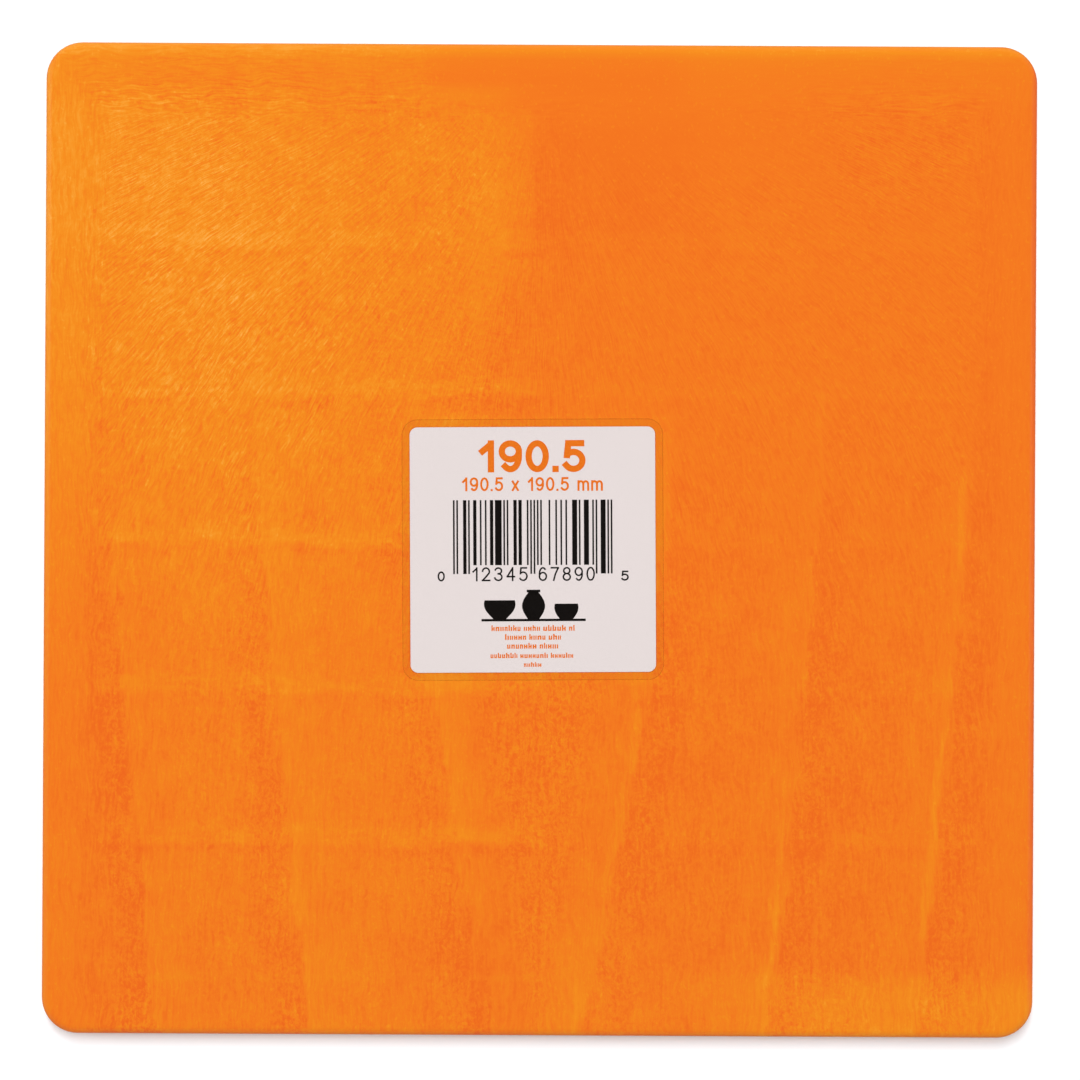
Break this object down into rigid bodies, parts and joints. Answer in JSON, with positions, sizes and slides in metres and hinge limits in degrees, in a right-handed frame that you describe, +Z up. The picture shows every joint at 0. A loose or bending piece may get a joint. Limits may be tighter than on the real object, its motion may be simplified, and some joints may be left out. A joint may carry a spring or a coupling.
{
  "type": "pottery wheel bat",
  "caption": "Square plastic throwing bat for a potter's wheel, flat on top and ribbed underneath, with a paper label under clear film.",
  "frame": {"origin": "centre of the plate on the plane that its underside stands on", "axes": "+Z up, out of the flat working face; +Y towards the top edge of the label's print; +X to the right of the print"},
  "size_m": [0.1906, 0.1906, 0.0065],
  "materials": {
    "orange_plastic": "injection moulded orange polypropylene, satin, with fine flow strokes",
    "label_paper": "matte white label paper, printed in orange and black",
    "clear_film": "thin clear self-adhesive plastic film, glossy"
  },
  "bodies": {
    "root": {"bat_plate": "orange_plastic", "label_sheet": "label_paper", "label_film": "clear_film"}
  },
  "joints": []
}
